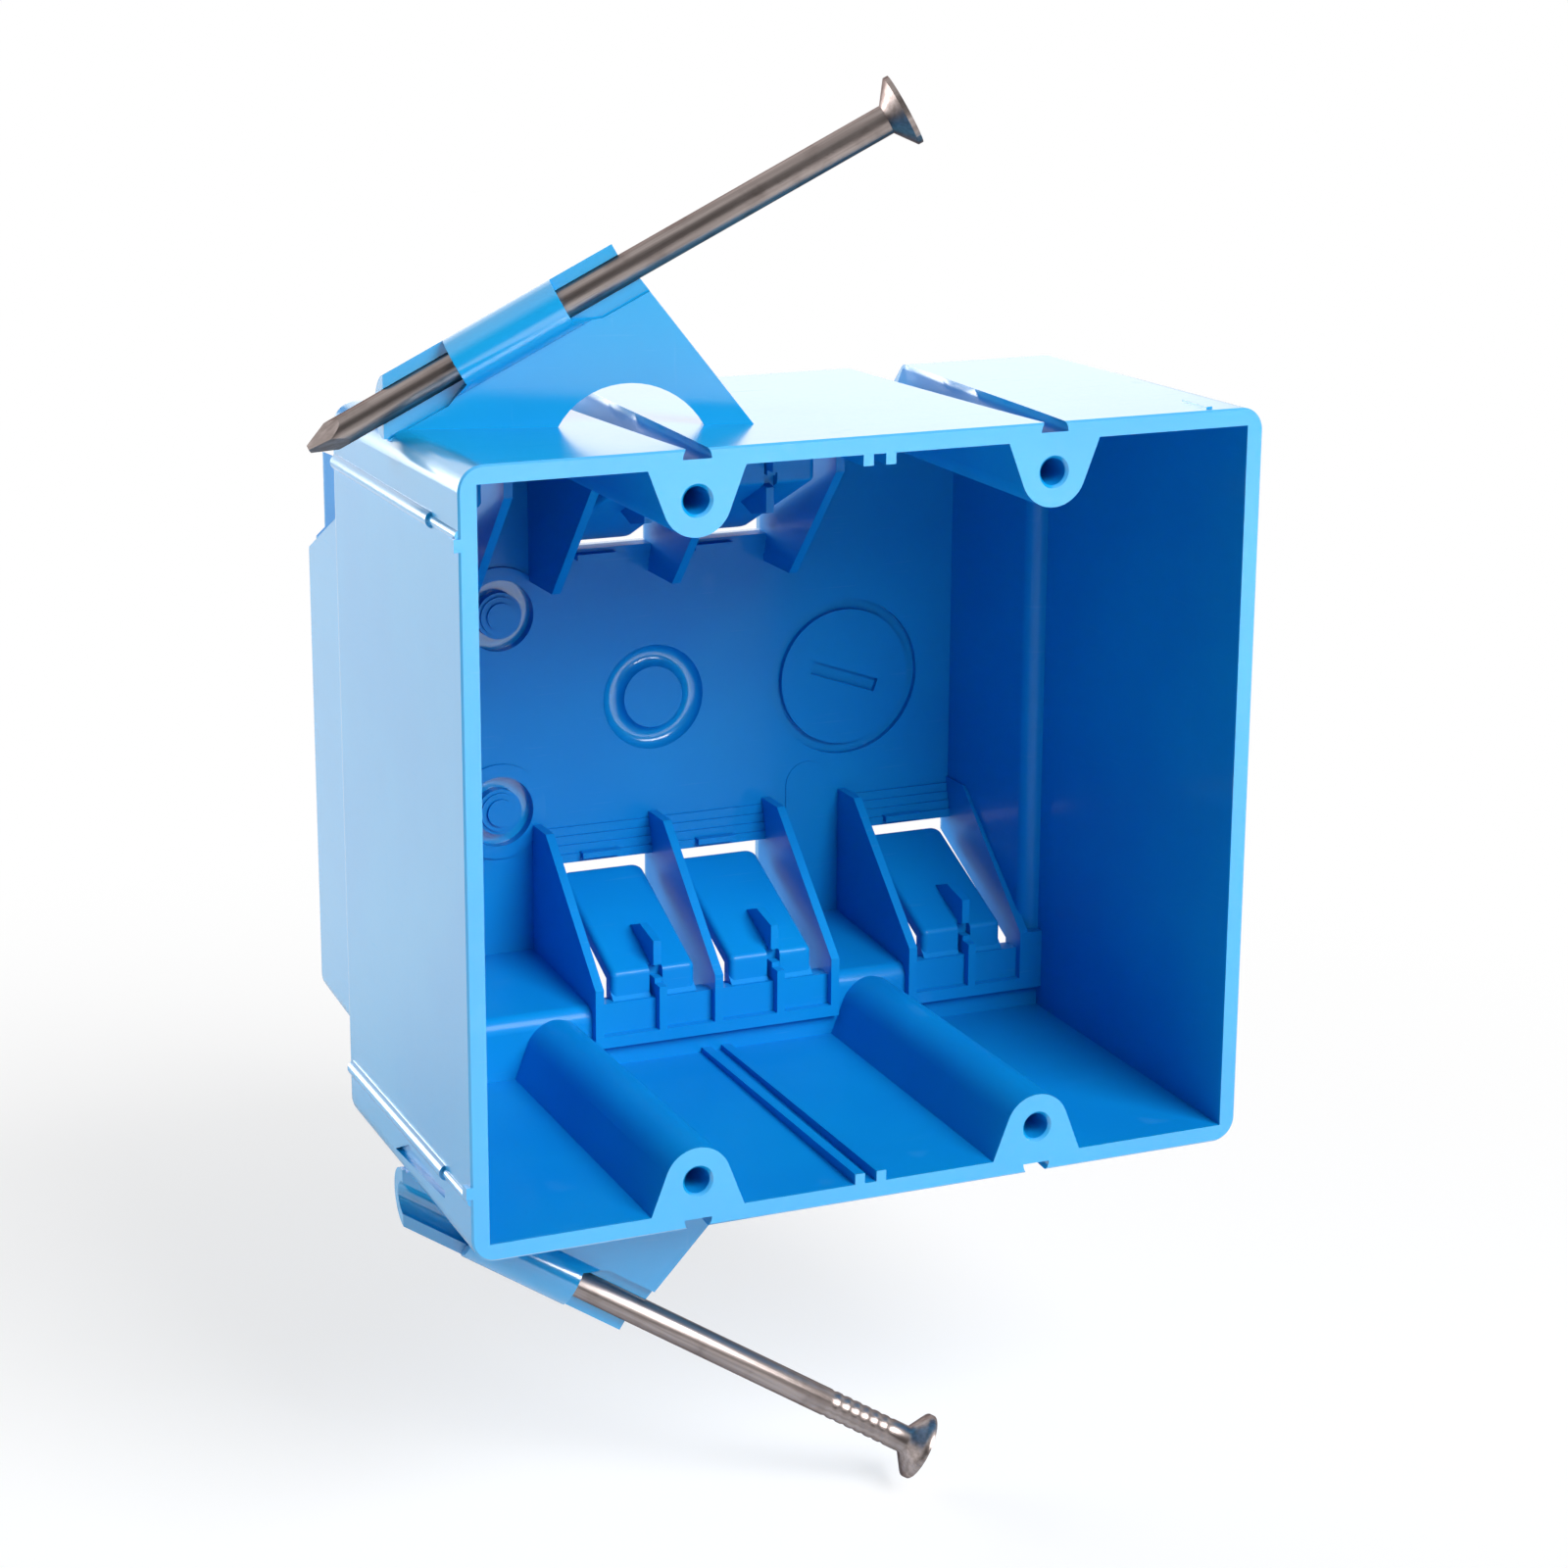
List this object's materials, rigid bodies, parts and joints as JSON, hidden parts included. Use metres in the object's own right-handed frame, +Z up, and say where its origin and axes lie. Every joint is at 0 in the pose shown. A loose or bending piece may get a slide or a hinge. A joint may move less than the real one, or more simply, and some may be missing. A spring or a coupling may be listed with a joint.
{
  "type": "new work outlet box",
  "caption": "Wide plastic outlet box for open stud walls, with an open front, screw ridges, rear cable clamps and slanted nails held in bracket sleeves.",
  "frame": {"origin": "on the stud side of the box, at its front edge and at mid-height, where the face of the stud meets the plane of the open front", "axes": "+X from the stud across the open front, +Y from the open front back into the wall, +Z up"},
  "size_m": [0.1119, 0.0742, 0.1785],
  "materials": {
    "box_plastic": "smooth moulded thermoplastic with a soft gloss",
    "nail_steel": "bright drawn steel with faint lengthwise lines"
  },
  "bodies": {
    "box": {"box_moulding": "box_plastic"},
    "upper_nail": {"upper_nail": "nail_steel"},
    "lower_nail": {"lower_nail": "nail_steel"}
  },
  "joints": [
    {"name": "upper_nail_drive", "type": "slide", "parent": "box", "child": "upper_nail", "axis": [-0.8293, 0.2726, -0.4879], "range_m": [0, 0.0336]},
    {"name": "lower_nail_drive", "type": "slide", "parent": "box", "child": "lower_nail", "axis": [-0.8293, 0.2726, 0.4879], "range_m": [0, 0.0387]}
  ]
}
